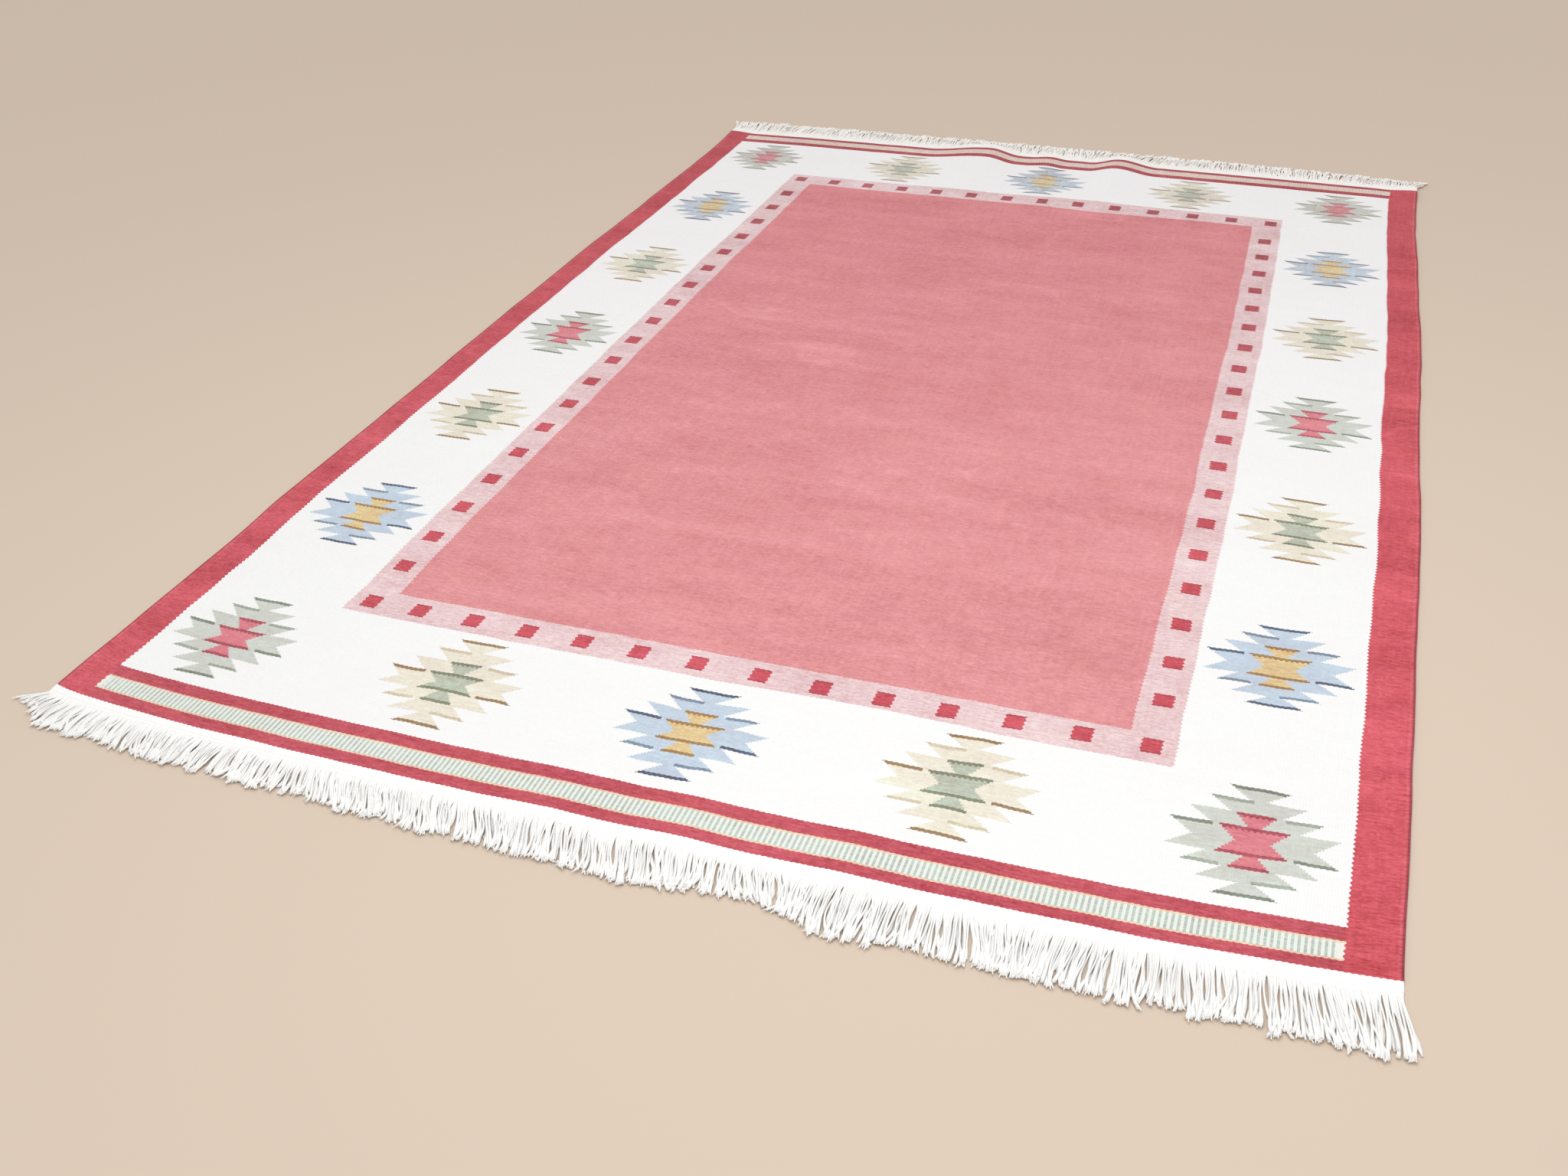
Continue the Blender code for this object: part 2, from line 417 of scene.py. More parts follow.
# Each motif's wools: body, strong line, faint line, heart, line on the heart
GOLD_HEARTED = (
    seen(202, 216, 231),
    seen(94, 102, 124),
    seen(134, 150, 168),
    seen(232, 206, 154),
    seen(170, 132, 88),
)
RED_HEARTED = (
    seen(214, 217, 209),
    seen(138, 144, 130),
    seen(170, 177, 164),
    seen(227, 134, 144),
    seen(180, 86, 98),
)
SAGE_HEARTED = (
    seen(243, 236, 219),
    seen(162, 132, 98),
    seen(218, 204, 178),
    seen(194, 200, 183),
    seen(140, 142, 120),
)

# A motif's rows, from the middle out: the first one's depth, the others', the half width at a
# row's outer edge, how much less each further row has, and how fast a row narrows inwards
FIRST_ROW, ROW = 0.0245, 0.0277
BODY_HALF, BODY_LESS, BODY_SLOPE = 0.1155, 0.0243, 1.2
HEART_HALF, HEART_LESS = 0.0490, 0.0205
HEART_SLOPE, OUTER_HEART_SLOPE = 1.00, 0.74
TALL_TAKES, TALL_SLOPE = 0.3, 30.0  # what a taller first row takes from the others, and its slope

# Dark lines on the rows' outer edges: how deep, and how far from the middle each arm begins
LINE, HEART_LINE, HEART_LINE_STEP = 0.0066, 0.0058, 0.0016
ARM_FROM, THIN_ARM_FROM, INNER_ARM_FROM = 0.056, 0.038, 0.006


def motif(p, far, falling, taller, every_other, wools):
    """A stepped diamond: its cover and colour at p across and far along from its middle."""
    body, strong, faint, heart, heart_line = wools
    first_row = FIRST_ROW + taller
    next_row = ROW - taller * TALL_TAKES
    row = ((far - first_row) / next_row + 0.5).at_least(0.0).rounded().at_most(3.0)
    depth = row * next_row + first_row - far  # how far inside this row's outer edge
    side = abs(p)
    cover = (side < BODY_HALF - row * BODY_LESS - depth * BODY_SLOPE) * (depth > 0.0)
    middle_slope = HEART_SLOPE - taller * TALL_SLOPE
    slope = middle_slope + row * (OUTER_HEART_SLOPE - middle_slope)
    in_heart = (side < HEART_HALF - row * HEART_LESS - depth * slope) * (row < 1.5)

    # A line runs over each tip, and the arms have theirs on one side and the other in turn
    edge = depth < LINE
    rising = 1.0 - falling
    tip = edge * (row > 2.5)
    arm = edge * (row < 0.5) * falling * (side > ARM_FROM)
    thin_arm = edge * (row > 0.5) * (row < 1.5) * rising * (side > THIN_ARM_FROM)
    inner_arm = edge * (row > 1.5) * (row < 2.5) * falling * (side > INNER_ARM_FROM)
    colour = body.to(strong, tip.at_least(arm))
    colour = colour.to(faint, thin_arm.at_least(inner_arm))
    colour = colour.to(heart, in_heart)
    lined = depth < HEART_LINE + every_other * HEART_LINE_STEP
    return cover, colour.to(heart_line, in_heart * lined)


MOTIF_ACROSS, MOTIF_ALONG = 0.40325, 0.43
MOTIF_WAVE = 0.014

# How far motifs stand from their even places: at cell 0, more per cell, more per cell squared
FAR_ROW_RIGHT = (0.022, 0.0015, -0.0055)
SIDES_FURTHER = (-0.0036, 0.0021, -0.0006)
RIGHT_FURTHER = (0.0035, -0.0007, -0.00095)  # on the right, and as much less on the left
FAR_CORNERS_NEARER = 0.006

# How their sizes differ: of the two at the sides, of a near and a far half, and of first rows
SIDE_NARROWER, LEFT_NARROWER = 0.040, 0.008
MIDDLE_TALLER = 2.0
NEAR_HALF_SHORTER, FAR_HALF_LONGER = 1.04, 0.08
SIDE_ROW, ODD_ROW_LESS = 0.0044, 0.0022
NEAR_ROW_LESS, NEAR_RIGHT_ROW = 0.0008, 0.0012


def curve(numbers, cell):
    """A number that changes from cell to cell: its level at cell 0, its slope and its bend."""
    level, slope, bend = numbers
    return level + cell * slope + cell * cell * bend


def border(start, loom):
    """The white border, whose motifs stand in cells counted from the middle of the rug."""
    cell_across = ((loom.across + DESIGN_SHIFT) / MOTIF_ACROSS).rounded()
    cell_along = (loom.stretched / MOTIF_ALONG).rounded()
    far_across, far_along = abs(cell_across), abs(cell_along)
    near_row, far_row = cell_along < -2.5, cell_along > 2.5
    at_side, at_middle = far_across > 1.5, far_across < 0.5

    shift_across = far_row * curve(FAR_ROW_RIGHT, cell_across)
    shift_along = curve(SIDES_FURTHER, cell_along) + curve(RIGHT_FURTHER, cell_along) * cell_across
    shift_along = (far_along < 2.5) * shift_along - far_row * at_side * FAR_CORNERS_NEARER
    p = loom.across + DESIGN_SHIFT - cell_across * MOTIF_ACROSS - shift_across
    p = (p / WARP_PITCH).rounded() * WARP_PITCH  # a row ends at a whole warp
    p = p * (1.0 + at_side * (SIDE_NARROWER - cell_across * LEFT_NARROWER))
    waving = streaks(loom.place, 9.0, 3.0, 9.0) * MOTIF_WAVE
    r = loom.stretched + waving - cell_along * MOTIF_ALONG - shift_along
    r = r * (1.0 - loom.slack * MIDDLE_TALLER)
    longer = FAR_HALF_LONGER * (1.0 - near_row * at_middle)
    far = abs(r) * (NEAR_HALF_SHORTER - (r > 0.0) * longer)
    taller = at_side * (SIDE_ROW - (cell_along % 2.0) * ODD_ROW_LESS)
    taller = taller + near_row * (cell_across * NEAR_RIGHT_ROW - NEAR_ROW_LESS)

    kind = (far_along - far_across + 3.0) % 3.0
    wools = []
    for gold, red, sage in zip(GOLD_HEARTED, RED_HEARTED, SAGE_HEARTED):
        wools.append(start.blend(gold, red, kind > 0.5).to(sage, kind > 1.5))
    cover, colour = motif(p, far, (p * r) < 0.0, taller, loom.every_other, wools)
    colour = colour.to(FAR_MIX, loom.farness * loom.farness * FAR_MIX_SHARE)
    in_border = at_side.at_least(far_along > 2.5)
    # Painted light: the white grows lighter towards the far end
    return start.blend(WHITE, FAR_PAINTED_LIGHT_WHITE, loom.farness).to(colour, cover * in_border)


# The pale guard band with its small squares, and the plain field inside it
PALE_ROSE = seen(238, 207, 209)
# Painted shade: the rose and the squares' red are made darker towards the far end
ROSE, FAR_PAINTED_SHADE_ROSE = seen(230, 151, 154), seen(228, 141, 146)
SQUARE_RED, FAR_PAINTED_SHADE_SQUARE_RED = seen(209, 86, 98), seen(176, 88, 96)
DARK_PICK, DARK_PICK_DEPTH = seen(182, 78, 90), 0.0035
GUARD_OUT, GUARD_IN = 0.678, 0.606
END_GUARD_OUT, END_GUARD_IN = 1.1616, 1.0952
SQUARE_ACROSS, SQUARE_ALONG = 0.0988, 0.11284
SQUARE_WIDTH, SQUARE_HEIGHT = 0.0295, 0.0335
LAST_SIDE_SQUARE = END_GUARD_IN - 0.015

# The band isn't quite even: it stands left and out of square, and is wider at the near end
GUARD_LEFT, GUARD_SKEW = 0.0012, 0.0010
OUTER_WIDER, OUTER_TAPER = 0.0030, 0.0028
INNER_WIDER, INNER_TAPER = 0.0050, 0.0040
FAR_END_WIDER = 0.0028
BULGE_MIDDLE, BULGE_SHARPNESS, BULGE_IN = 0.22, 22.0, 0.006  # both ends bend in at this place

# Nor are its squares: how they spread, crowd and stand to one side, and how much larger some are
SQUARE_SPREAD = 1.008
SQUARES_LEFT, LEFT_SQUARES_END = 0.006, -0.60
RIGHT_CROWD_FROM, RIGHT_CROWD = 0.5, 0.034
NEAR_CROWD_FROM, NEAR_CROWD = -0.9, 0.09
LEFT_NEARER = 0.0045
SIDE_SQUARE_WIDER, SIDE_SQUARE_TALLER, LEFT_SQUARE_TALLER = 0.0006, 0.0007, 0.0008
RISE_FROM, RISE, BULGE_DIP = 0.30, 0.016, 0.003


def guard_band(start, loom, colour):
    """Lays the guard band, its squares and the field over the border's colour."""
    off_centre = loom.across - BULGE_MIDDLE
    bulge = (1.0 - off_centre * off_centre * BULGE_SHARPNESS).at_least(0.0)
    at_far = 1.0 - loom.near
    guard_side = abs(loom.join + GUARD_LEFT + loom.along * GUARD_SKEW)
    outer_side = guard_side - (OUTER_WIDER - loom.along * OUTER_TAPER)
    inner_side = guard_side - (INNER_WIDER - loom.along * INNER_TAPER)
    outer_end = loom.end + bulge * loom.near * BULGE_IN - at_far * FAR_END_WIDER
    inner_end = loom.end + bulge * at_far * BULGE_IN
    in_guard = (outer_side < GUARD_OUT) * (outer_end < END_GUARD_OUT)
    colour = colour.to(PALE_ROSE, in_guard)

    near_left = loom.near * loom.left * (loom.join > LEFT_SQUARES_END)
    shifted = near_left * SQUARES_LEFT + at_far * bulge * SQUARES_LEFT
    across_count = (loom.join + shifted + SQUARE_ACROSS / 2) / (SQUARE_ACROSS * SQUARE_SPREAD)
    across_square = abs(across_count - across_count.rounded()) * SQUARE_ACROSS
    crowded = ((loom.along - RIGHT_CROWD_FROM) * RIGHT_CROWD).at_least(0.0) * (loom.join > 0.0)
    crowded = crowded + ((loom.along - NEAR_CROWD_FROM) * NEAR_CROWD).at_most(0.0)
    crowded = crowded + loom.left * LEFT_NEARER
    along_count = (loom.stretched + crowded) / SQUARE_ALONG
    along_square = abs(along_count - along_count.rounded()) * SQUARE_ALONG
    along_square = along_square - SIDE_SQUARE_TALLER - loom.left * LEFT_SQUARE_TALLER

    side_square = abs(inner_side - (GUARD_OUT + GUARD_IN) / 2) - SIDE_SQUARE_WIDER
    on_side = (side_square < SQUARE_WIDTH / 2) * (along_square < SQUARE_HEIGHT / 2)
    on_side = on_side * (loom.end < LAST_SIDE_SQUARE)
    rising = ((loom.across - RISE_FROM) * RISE).at_least(0.0) - bulge * BULGE_DIP
    end_square = abs(loom.end + loom.near * rising - (END_GUARD_OUT + END_GUARD_IN) / 2)
    on_end = (end_square < SQUARE_HEIGHT / 2) * (across_square < SQUARE_WIDTH / 2)
    # Painted shade: the squares darker towards the far end
    square_red = start.blend(SQUARE_RED, FAR_PAINTED_SHADE_SQUARE_RED, loom.farness)
    colour = colour.to(square_red, on_side.at_least(on_end) * in_guard)
    last_pick = SQUARE_HEIGHT / 2 - DARK_PICK_DEPTH
    dark_pick = on_side * (along_square > last_pick) + on_end * (end_square > last_pick)
    colour = colour.to(DARK_PICK, dark_pick * in_guard)
    in_field = (inner_side < GUARD_IN) * (inner_end < END_GUARD_IN)
    # Painted shade: the field darker towards the far end
    return colour.to(start.blend(ROSE, FAR_PAINTED_SHADE_ROSE, loom.farness), in_field)


# The outer bands: two red stripes at each end, and between them a pick of sage and a pick of
# white in turn, which stand as upright bars edged with ochre. Then the red sides and the heading
# Painted shade: both reds are made darker towards the far end
DEEP_RED, FAR_PAINTED_SHADE_DEEP_RED = seen(200, 87, 99), seen(184, 78, 86)
RED, FAR_PAINTED_SHADE_RED, LEFT_DARKER = seen(217, 92, 104), seen(205, 81, 91), 0.06
SAGE, OCHRE = seen(195, 210, 201), seen(241, 214, 186)
STRIPE_WHITE = seen(246, 246, 238)
FAR_STRIPE, FAR_STRIPE_SHARE = seen(236, 206, 196), 0.75
INNER_RED, STRIPED, OUTER_RED = 1.4172, 1.4420, 1.4765
OCHRE_INNER, OCHRE_OUTER = 0.0034, 0.0030
BARS_END = 0.925
SIDE_BAND = 0.9343  # inner edge of the red side band
CORD_PINK, CORD_LINE, CORD_HALF = seen(218, 104, 114), 0.9945, 0.0011  # a slim line by the edge
# A darker red over the outermost couple of millimetres at each side is painted shade, for the edge lying
# in shadow
PAINTED_SHADE_EDGE_RED, PAINTED_SHADE_EDGE_FROM = seen(168, 70, 82), 0.9977
HEADING_WHITE = (0.94, 0.93, 0.92)
HEADING_LATER, HEADING_SKEW = 0.0030, 0.0032  # the near heading runs out of square


def outer_bands(start, loom, colour):
    """Lays the end stripes, the red sides, a painted shade along the very edges and the heading over the
    colour inside them.
    """
    # Painted shade: the end stripes' red darker towards the far end
    colour = colour.to(start.blend(DEEP_RED, FAR_PAINTED_SHADE_DEEP_RED, loom.farness), loom.end > INNER_RED)
    inner_ochre = loom.end < STRIPED + OCHRE_INNER
    outer_ochre = loom.end > OUTER_RED - OCHRE_OUTER
    bars = start.blend(STRIPE_WHITE, SAGE, loom.every_other * (loom.side < BARS_END))
    bars = bars.to(OCHRE, inner_ochre.at_least(outer_ochre))
    bars = bars.to(FAR_STRIPE, (1.0 - loom.near) * FAR_STRIPE_SHARE)
    colour = colour.to(bars, (loom.end > STRIPED) * (loom.end < OUTER_RED))
    # Painted shade: the red sides darker towards the far end
    side_red = start.blend(RED, FAR_PAINTED_SHADE_RED, loom.farness) * (1.0 - loom.left * LEFT_DARKER)
    colour = colour.to(side_red, loom.side > SIDE_BAND)
    out = abs(loom.across)
    colour = colour.to(CORD_PINK, abs(out - CORD_LINE) < CORD_HALF)
    # Painted shade: the very edges darker, as if in shadow
    colour = colour.to(PAINTED_SHADE_EDGE_RED, out > PAINTED_SHADE_EDGE_FROM)
    shift = loom.near * (loom.across * HEADING_SKEW - HEADING_LATER)
    return colour.to(HEADING_WHITE, loom.end + shift > HALF_BODY)


# Uneven dye and the painted crease highlight: how much of them the reds show more, and pale and white
# wool less, by their green part
DARK_GREEN, PALE_GREEN, WHITE_GREEN = 0.16, 0.58, 0.80
DARK_MORE, PALE_LESS, WHITE_LESS = 0.8, 0.45, 0.47
BANDS, MOTTLE, DASHES, UPRIGHTS, GRAIN = 0.38, 0.40, 0.66, 0.20, 0.20
RED_CHANGE, BLUE_CHANGE, ORANGE = 0.55, 0.95, 0.12  # beside the change of green
GRAIN_PITCH = 0.0023
CREASE_FROM, CREASE_FADE = -0.85, 2.5
# How thin a crease is, and how much lighter its colour is painted, as painted highlight
CREASE_THINNESS, CREASE_PAINTED_HIGHLIGHT = 85.0, 0.13
RIB_RISE, DASH_RISE, CREASE_RISE = 0.6, 0.8, 5.0  # beside the rise of the grain
WEAVE_DEPTH = 0.0004


def uneven_wool_and_crease_highlight(start, loom, colour):
    """The colour with bands from hank to hank, streaks, grain and a painted highlight along soft
    creases, and its relief, creases included.
    """
    green = start.node("ShaderNodeSeparateColor", output=1, s0=colour)
    strength = 1.0 + (green < DARK_GREEN) * DARK_MORE
    strength = strength - (green > PALE_GREEN) * PALE_LESS - (green > WHITE_GREEN) * WHITE_LESS
    place = loom.place
    bands = streaks(place, 1.1, 9.0, 1.0, 3.0) + streaks(place, 3.5, 5.5, 10.0, 2.0)
    mottle = streaks(place, 10.0, 30.0, 3.0, 3.0)
    dashes = streaks(place, 50.0, 280.0, 2.0, 1.0)
    uprights = streaks(place, 150.0, 12.0, 7.0, 1.0)
    grain = chance_of(loom.across / WARP_PITCH, loom.along / GRAIN_PITCH)
    uneven = bands * BANDS + mottle * MOTTLE + dashes * DASHES + uprights * UPRIGHTS + grain * GRAIN

    # Soft creases wander over the middle and the far part, and stop here and there. They are bumps, and
    # their colour is also painted a little lighter as painted highlight
    ripple = streaks(place, 2.4, 4.2, 13.0, 1.5)
    creased = (streaks(place, 1.7, 1.5, 14.0, 1.0) * 6.0 + 0.6).clipped()
    creased = creased * ((loom.along - CREASE_FROM) * CREASE_FADE).clipped()
    crease = (1.0 - abs(ripple) * CREASE_THINNESS).at_least(0.0) * creased
    # Painted highlight: the creases' colour made lighter
    uneven = (uneven + crease * CREASE_PAINTED_HIGHLIGHT) * strength
    orange = streaks(place, 9.0, 20.0, 6.0, 3.0) * strength * ORANGE
    blue = uneven * BLUE_CHANGE - orange
    shades = start.node("ShaderNodeCombineXYZ", s0=uneven * RED_CHANGE, s1=uneven, s2=blue)
    rib = (loom.across * (2 * math.pi / WARP_PITCH)).sine()
    height = rib * RIB_RISE + grain + dashes * DASH_RISE + crease * CREASE_RISE
    return colour * (1.0 + shades), height


def weave_wool():
    """The whole cloth's wool, from the border inwards, then from the stripes out."""
    wool, shader, start = new_finish("rose and white wool weave", 0.08, 0.15, 0.92)
    loom = lay_out(start)
    colour = border(start, loom)
    colour = guard_band(start, loom, colour)
    colour = outer_bands(start, loom, colour)
    colour, height = uneven_wool_and_crease_highlight(start, loom, colour)
    dress(shader, colour, height, WEAVE_DEPTH)
    return wool


rug_cloth = make_cloth()
rug_cloth.data.materials.append(weave_wool())
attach(rug_cloth, "root")
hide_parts("rug")

# The fringes
# The rug's own warp ends: plied white cotton, cut a hand's width past the heading and left without
# knots. They lie in loose tufts on the floor, some across others, and splay out at the corners.
# Each fringe here goes with the last few picks of the heading, which hold it.

STRIP_START = CLOTH_END + 0.00005  # all but touching the cloth
STRIP_END = HALF_BODY + HEADING

# The strip's section: how far along the rug and how high each of its corners is
STRIP_SECTION = (
    (STRIP_START, 0.0),
    (STRIP_END, 0.0),
    (STRIP_END + 0.0006, 0.0014),
    (STRIP_END - 0.0006, 0.0028),
    (STRIP_START, CLOTH_THICKNESS),
)


def add_strip(points, faces, end):
    """The last picks of the heading, as a closed strip along the end."""
    columns = cloth_columns()
    base = len(points)
    for across in columns:
        for along, height in STRIP_SECTION:
            x, y = lies_at(across, end * along)
            points.append(Vector((x, y, fold_height(x, end * along) + height)))
    turn = len(STRIP_SECTION)
    for i in range(len(columns) - 1):
        for k in range(turn):
            a, b = base + i * turn + k, base + i * turn + (k + 1) % turn
            faces.append((a, b, b + turn, a + turn) if end > 0 else (a, a + turn, b + turn, b))
    first = [base + k for k in range(turn)]
    last = [base + (len(columns) - 1) * turn + k for k in range(turn)]
    faces.append(tuple(reversed(first)) if end > 0 else tuple(first))
    faces.append(tuple(last) if end > 0 else tuple(reversed(last)))


YARN_STEPS = 11
YARN_HALF_HEIGHT = 0.0011
ROOT_DEPTH, ROOT_HEIGHT = 0.004, 0.0018  # where a yarn starts inside the heading
DOWN_BY, SETTLE = 0.03, 0.045  # it is down this far out, and off a fold a little later
STRAIGHT_SHARE = 0.45  # how much of a lean is straight from the root, and the rest is eased in
SWAY, WAVES = 0.0016, (0.5, 1.4)
CURL = 0.0052  # how far the tip turns aside
ARCH = 0.004  # the highest that the middle of a yarn stands off the floor


def yarn_path(end, across, lean, bow, length, chance, layer, gather=0.0):
    """The points of one warp end, from inside the heading to its cut tip."""
    sway = chance.gauss(0, SWAY)
    waves = chance.uniform(*WAVES)
    start_wave = chance.uniform(0, 2 * math.pi)
    curl = chance.gauss(0, CURL)
    arch = ARCH * chance.random() ** 2
    root_x, root_y = lies_at(across, end * STRIP_END)
    lift = fold_height(root_x, end * STRIP_END)
    path = []
    for step in range(YARN_STEPS):
        share = step / (YARN_STEPS - 1)
        out = length * share - ROOT_DEPTH
        past = max(out, 0.0)
        wave = math.sin(2 * math.pi * waves * share + start_wave) - math.sin(start_wave)
        side = lean * (STRAIGHT_SHARE * share + (1 - STRAIGHT_SHARE) * ease(share))
        side += bow * math.sin(math.pi * share) + sway * wave * share**0.5
        side += curl * share**5 + gather * math.sin(math.pi * share**0.9)
        down = ease(past / DOWN_BY)
        on_floor = YARN_HALF_HEIGHT * (1.0 + layer)
        height = lift * (1 - ease(past / SETTLE)) + ROOT_HEIGHT * (1 - down) + on_floor * down
        height += arch * math.sin(math.pi * share)
        path.append(Vector((root_x + side, root_y + end * out, height)))
    return path


YARN_SIDES = 5


def add_tube(points, faces, path, widths, height):
    """A soft round yarn along a path, as wide at each point as the list says."""
    base = len(points)
    for k, place in enumerate(path):
        ahead = path[min(k + 1, len(path) - 1)] - path[max(k - 1, 0)]
        side = ahead.cross(Vector((0, 0, 1))).normalized()
        up = side.cross(ahead).normalized()
        for corner in range(YARN_SIDES):
            angle = 2 * math.pi * corner / YARN_SIDES
            points.append(place + side * math.cos(angle) * widths[k] + up * math.sin(angle) * height)
    for k in range(len(path) - 1):
        for corner in range(YARN_SIDES):
            a = base + k * YARN_SIDES + corner
            b = base + k * YARN_SIDES + (corner + 1) % YARN_SIDES
            faces.append((a, b, b + YARN_SIDES, a + YARN_SIDES))
    faces.append(tuple(base + corner for corner in reversed(range(YARN_SIDES))))
    last = base + (len(path) - 1) * YARN_SIDES
    faces.append(tuple(last + corner for corner in range(YARN_SIDES)))


DRIFT, DRIFT_PITCH = 0.022, 0.11  # the lean drifts to and fro along the end, this far apart
FLARE_FADE = 0.020
YARN_LEAN, YARN_LENGTH, YARN_BOW = 0.0030, 0.0022, 0.0010


def lean_at(look, across):
    """How far the tips at a place lean, without what sets a tuft or a yarn apart."""
    drift = noise.noise(Vector((across / DRIFT_PITCH, look["seed"], 0.5)))
    left_flare, right_flare = look["flare"]
    lean = between(look["leans"], across) + DRIFT * drift
    lean += left_flare * math.exp(-(1 + across) / FLARE_FADE)
    return lean + right_flare * math.exp(-(1 - across) / FLARE_FADE)


UNDER_YARNS = 240
UNDER_LENGTH = 0.88  # of the length of those on top
UNDER_WIDTHS = ((-1.0, 0.0056), (-0.3, 0.0046), (0.2, 0.0028), (1.0, 0.0028))
UNDER_TIP = 0.0041  # the least half width near a tip, so that the floor shows in few places there


def add_under_layer(points, faces, look, chance):
    """Broad yarns beneath the others, which are closest together on the left."""
    for k in range(UNDER_YARNS):
        across = (2 * k + 1) / UNDER_YARNS - 1
        lean = lean_at(look, across) + chance.gauss(0, YARN_LEAN)
        length = (between(look["lengths"], across) + chance.gauss(0, YARN_LENGTH)) * UNDER_LENGTH
        path = yarn_path(look["end"], across, lean, 0.0, length, chance, 0.0)
        wide = between(UNDER_WIDTHS, across)
        widths = [wide] * (YARN_STEPS - 4) + [max(wide, UNDER_TIP)] * 2 + [wide, wide * 0.5]
        add_tube(points, faces, path, widths, YARN_HALF_HEIGHT * 0.8)


PLY_STEPS = 5
PLY_FROM = 0.55  # where on a yarn its plies part
PLY_SPREAD, PLY_LONGER = (0.0010, 0.0034), (-0.004, 0.005)
PLY_RISE, PLY_HALF_WIDTH, PLY_HALF_HEIGHT = 0.0004, 0.0009, 0.0008


def add_loose_plies(points, faces, path, end, chance):
    """Two plies that part from the outer half of a yarn and lie beside it."""
    for side in (-1, 1):
        spread = side * chance.uniform(*PLY_SPREAD)
        longer = chance.uniform(*PLY_LONGER)
        ply = []
        for step in range(PLY_STEPS):
            share = step / (PLY_STEPS - 1)
            k = min(YARN_STEPS - 1, round((PLY_FROM + share * (1 - PLY_FROM)) * YARN_STEPS))
            off = Vector((spread * ease(share), end * longer * share**2, PLY_RISE * share))
            ply.append(path[k] + off)
        add_tube(points, faces, ply, [PLY_HALF_WIDTH] * PLY_STEPS, PLY_HALF_HEIGHT)


YARNS = 800
YARN_PITCH = 2.0 / YARNS
YARN_JITTER, YARN_THICKNESS, YARN_LAYER = 0.25, (0.88, 1.12), (0.6, 2.6)
TUFT_SIZES = (3, 10)
TUFT_LEAN, TUFT_BOW, TUFT_LENGTH = 0.0022, 0.0014, 0.0038
TUFT_GATHER = 0.32  # how much of a tuft's width its yarns lose half way along, at most
STRAY_SHARE, STRAY_LEAN = 0.025, 0.009  # a few tufts lie quite another way and leave a gap

# Half a yarn's width at places along it: side by side in the heading, round, then coming untwisted
YARN_WIDTHS = (
    (0.0, 0.0019),
    (0.18, 0.0018),
    (0.40, 0.0013),
    (0.62, 0.0015),
    (0.86, 0.0027),
    (1.0, 0.0022),
)


def new_tuft(first, chance):
    """A few yarns that lie together: how many, where, and how they lie."""
    size = chance.randint(*TUFT_SIZES)
    lean = chance.gauss(0, TUFT_LEAN)
    if chance.random() < STRAY_SHARE:
        lean += chance.choice((-1, 1)) * STRAY_LEAN
    bow = chance.gauss(0, TUFT_BOW)
    gather = chance.uniform(0, TUFT_GATHER)
    length = chance.gauss(0, TUFT_LENGTH)
    middle = YARN_PITCH * (first + size / 2) - 1
    return SimpleNamespace(size=size, middle=middle, lean=lean, bow=bow, gather=gather, length=length)


def add_yarns(points, faces, look, chance):
    """The yarns on top, tuft by tuft, each with its loose plies."""
    end = look["end"]
    left_in_tuft = 0
    for k in range(YARNS):
        if left_in_tuft == 0:
            tuft = new_tuft(k, chance)
            left_in_tuft = tuft.size
        left_in_tuft -= 1
        jitter = chance.uniform(-YARN_JITTER, YARN_JITTER)
        across = YARN_PITCH * (k + 0.5) - 1 + jitter * YARN_PITCH
        lean = lean_at(look, across) + tuft.lean + chance.gauss(0, YARN_LEAN)
        gather = tuft.gather * (tuft.middle - across)
        bow = tuft.bow + chance.gauss(0, YARN_BOW)
        length = between(look["lengths"], across) + tuft.length + chance.gauss(0, YARN_LENGTH)
        layer = chance.uniform(*YARN_LAYER)
        path = yarn_path(end, across, lean, bow, length, chance, layer, gather)
        thick = chance.uniform(*YARN_THICKNESS)
        widths = [thick * between(YARN_WIDTHS, step / (YARN_STEPS - 1)) for step in range(YARN_STEPS)]
        add_tube(points, faces, path, widths, YARN_HALF_HEIGHT)
        add_loose_plies(points, faces, path, end, chance)


def make_fringe(name, look):
    """One end's strip of heading, with its lower layer of yarns and those on top."""
    chance = random.Random(look["seed"])
    points, faces = [], []
    add_strip(points, faces, look["end"])
    strip_faces = len(faces)
    add_under_layer(points, faces, look, chance)
    add_yarns(points, faces, look, chance)
    mesh = bpy.data.meshes.new(name)
    mesh.from_pydata(points, [], faces)
    mesh.shade_smooth()
    for face in mesh.polygons[:strip_faces]:
        face.use_smooth = False
    piece = bpy.data.objects.new(name, mesh)
    bpy.context.scene.collection.objects.link(piece)
    return piece


COTTON_SHADE, COTTON_LIGHT = (0.91, 0.90, 0.88), (0.96, 0.96, 0.95)
# The far fringe's cotton: warmer, and lighter as painted light for the weaker light at that end
FAR_PAINTED_LIGHT_COTTON, FAR_PAINTED_LIGHT_COTTON_SHARE = (0.99, 0.95, 0.90), 0.8
TWIST_DEPTH = 0.0005


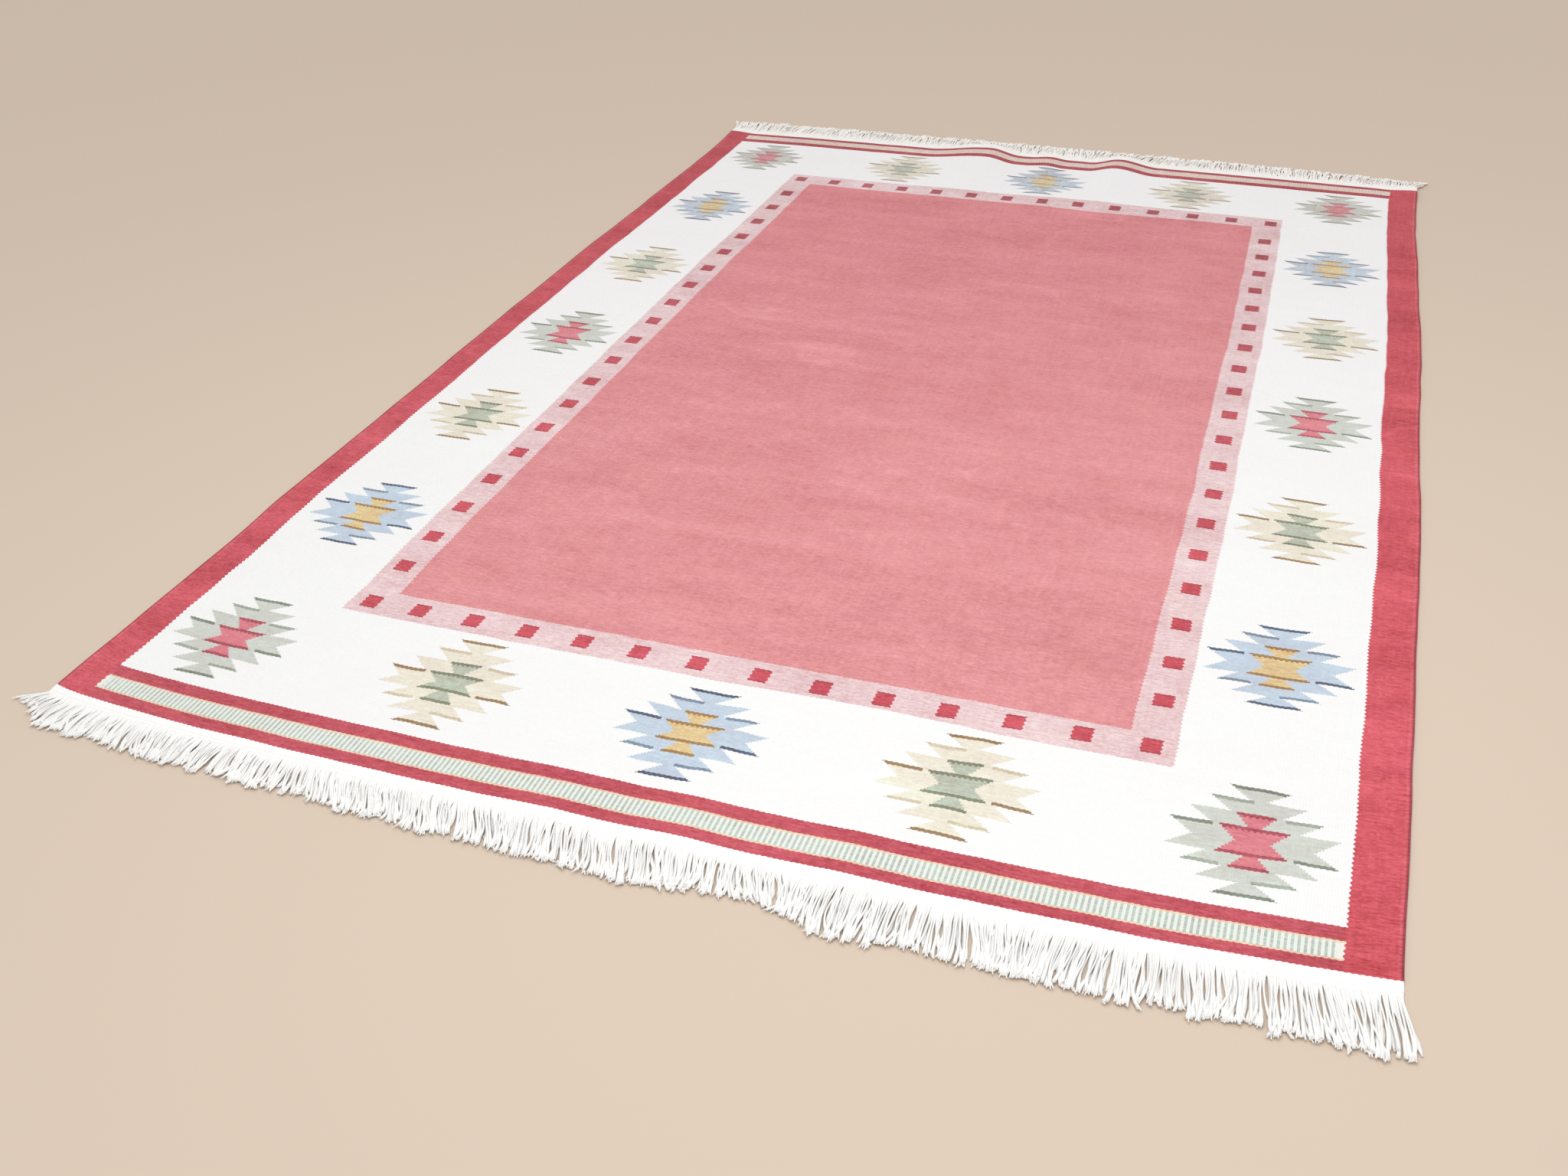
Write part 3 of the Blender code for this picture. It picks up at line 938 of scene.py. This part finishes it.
def plied_cotton():
    """Natural white cotton, with light and dark streaks and the bumps of its twist. On the far fringe it
    is painted warmer and lighter, the lightening being painted light.
    """
    cotton, shader, start = new_finish("white cotton warp", 0.15, 0.2, 0.9)
    place = start.node("ShaderNodeTexCoord", output=3)
    across = start.node("ShaderNodeSeparateXYZ", output=0, s0=place)
    along = start.node("ShaderNodeSeparateXYZ", output=1, s0=place)
    tone = streaks((across, along), 300.0, 30.0, 5.0)
    twist = streaks((across, along), 700.0, 900.0, 6.0, 0.0)
    colour = start.blend(COTTON_SHADE, COTTON_LIGHT, tone + 0.5)
    # Painted light: the far fringe made lighter, and also warmer
    colour = colour.to(FAR_PAINTED_LIGHT_COTTON, (along > 0.0) * FAR_PAINTED_LIGHT_COTTON_SHARE)
    dress(shader, colour, twist, TWIST_DEPTH)
    return cotton


# How each end's fringe lies. Lengths and leans start with a place across the rug, and the flare
# is how far the tips splay past the left and the right corner
NEAR_LOOK = {
    "end": -1,
    "seed": 5,
    "lengths": (
        (-1.0, 0.032), (-0.95, 0.066), (-0.75, 0.069), (-0.55, 0.067), (-0.2, 0.075), (0.06, 0.079),
        (0.14, 0.062), (0.22, 0.066), (0.30, 0.088), (0.5, 0.089), (0.85, 0.090), (1.0, 0.102),
    ),
    "leans": (
        (-1.0, -0.004), (-0.92, 0.001), (-0.78, 0.008), (-0.6, 0.020), (-0.2, 0.026), (0.1, 0.016),
        (0.4, 0.006), (0.8, 0.006), (1.0, 0.020),
    ),
    "flare": (-0.027, 0.008),
}
FAR_LOOK = {
    "end": 1,
    "seed": 11,
    "lengths": ((-1.0, 0.086), (-0.2, 0.086), (0.4, 0.082), (1.0, 0.066)),
    "leans": ((-1.0, 0.0), (1.0, 0.004)),
    "flare": (-0.012, 0.030),
}

cotton = plied_cotton()
for name, node, look in (
    ("fringe_near_yarns", "fringe_near", NEAR_LOOK),
    ("fringe_far_yarns", "fringe_far", FAR_LOOK),
):
    fringe = make_fringe(name, look)
    fringe.data.materials.append(cotton)
    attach(fringe, "root")
    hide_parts(node)

# The floor, the light and the camera
# A plain pale floor, and soft light from all round with a wide lamp high up.
# The camera stands at eye height off the near right corner, as in the photograph.

FLOOR_HALF, FLOOR_LEVEL = 45.0, -0.0004
FLOOR_COLOUR = (*seen(226, 208, 190), 1.0)
floor_corners = ((-1, -1), (1, -1), (1, 1), (-1, 1))
floor_mesh = bpy.data.meshes.new("floor")
floor_mesh.from_pydata(
    [(x * FLOOR_HALF, y * FLOOR_HALF, FLOOR_LEVEL) for x, y in floor_corners],
    [],
    [(0, 1, 2, 3)],
)
floor = bpy.data.objects.new("floor", floor_mesh)
bpy.context.scene.collection.objects.link(floor)
floor_finish = bpy.data.materials.new("plain pale floor")
floor_finish.use_nodes = True
floor_shader = floor_finish.node_tree.nodes["Principled BSDF"]
floor_shader.inputs["Base Color"].default_value = FLOOR_COLOUR
floor_shader.inputs["Roughness"].default_value = 0.95
floor_shader.inputs["Specular IOR Level"].default_value = 0.1
floor_mesh.materials.append(floor_finish)

LIGHT_ALL_ROUND, LIGHT_COLOUR = 0.76, (1.0, 0.99, 0.98, 1.0)
world = bpy.data.worlds.new("soft studio")
world.use_nodes = True
world.node_tree.nodes["Background"].inputs[0].default_value = LIGHT_COLOUR
world.node_tree.nodes["Background"].inputs[1].default_value = LIGHT_ALL_ROUND
bpy.context.scene.world = world

LAMP_PLACE, LAMP_SIDE = (0.42, -1.38, 2.6), 2.0
lamp = bpy.data.lights.new("wide lamp", "AREA")
lamp.shape = "RECTANGLE"
lamp.size = LAMP_SIDE
lamp.size_y = LAMP_SIDE
lamp.energy = 24.0
lamp_object = bpy.data.objects.new("wide lamp", lamp)
lamp_object.location = LAMP_PLACE
bpy.context.scene.collection.objects.link(lamp_object)

DAYLIGHT_GOES = Vector((0.45, -0.75, -0.9))
daylight = bpy.data.lights.new("soft daylight", "SUN")
daylight.energy = 0.45
daylight.angle = math.radians(28)
daylight_object = bpy.data.objects.new("soft daylight", daylight)
daylight_object.rotation_euler = DAYLIGHT_GOES.to_track_quat("-Z", "Y").to_euler()
bpy.context.scene.collection.objects.link(daylight_object)

bpy.context.scene.view_settings.view_transform = "Standard"

CAMERA_PLACE = (0.7467, -2.9781, 1.4386)
CAMERA_YAW = math.radians(-19.674)
CAMERA_DOWN = math.radians(32.96)
CAMERA_ROLL = math.radians(-1.276)
SENSOR_WIDTH = 36.0
FOCAL_PIXELS, PHOTO_WIDTH = 2037, 2048

level_ahead = Vector((math.sin(CAMERA_YAW), math.cos(CAMERA_YAW), 0))
ahead = level_ahead * math.cos(CAMERA_DOWN) - Vector((0, 0, math.sin(CAMERA_DOWN)))
level = Vector((math.cos(CAMERA_YAW), -math.sin(CAMERA_YAW), 0))
upright = level.cross(ahead)
right = math.cos(CAMERA_ROLL) * level + math.sin(CAMERA_ROLL) * upright
up = math.cos(CAMERA_ROLL) * upright - math.sin(CAMERA_ROLL) * level
turned = Matrix((right, up, -ahead)).transposed().to_4x4()
camera_data = bpy.data.cameras.new("camera")
camera_data.sensor_width = SENSOR_WIDTH
camera_data.lens = SENSOR_WIDTH * FOCAL_PIXELS / PHOTO_WIDTH
camera = bpy.data.objects.new("camera", camera_data)
camera.matrix_world = Matrix.Translation(CAMERA_PLACE) @ turned
bpy.context.scene.collection.objects.link(camera)
bpy.context.scene.camera = camera
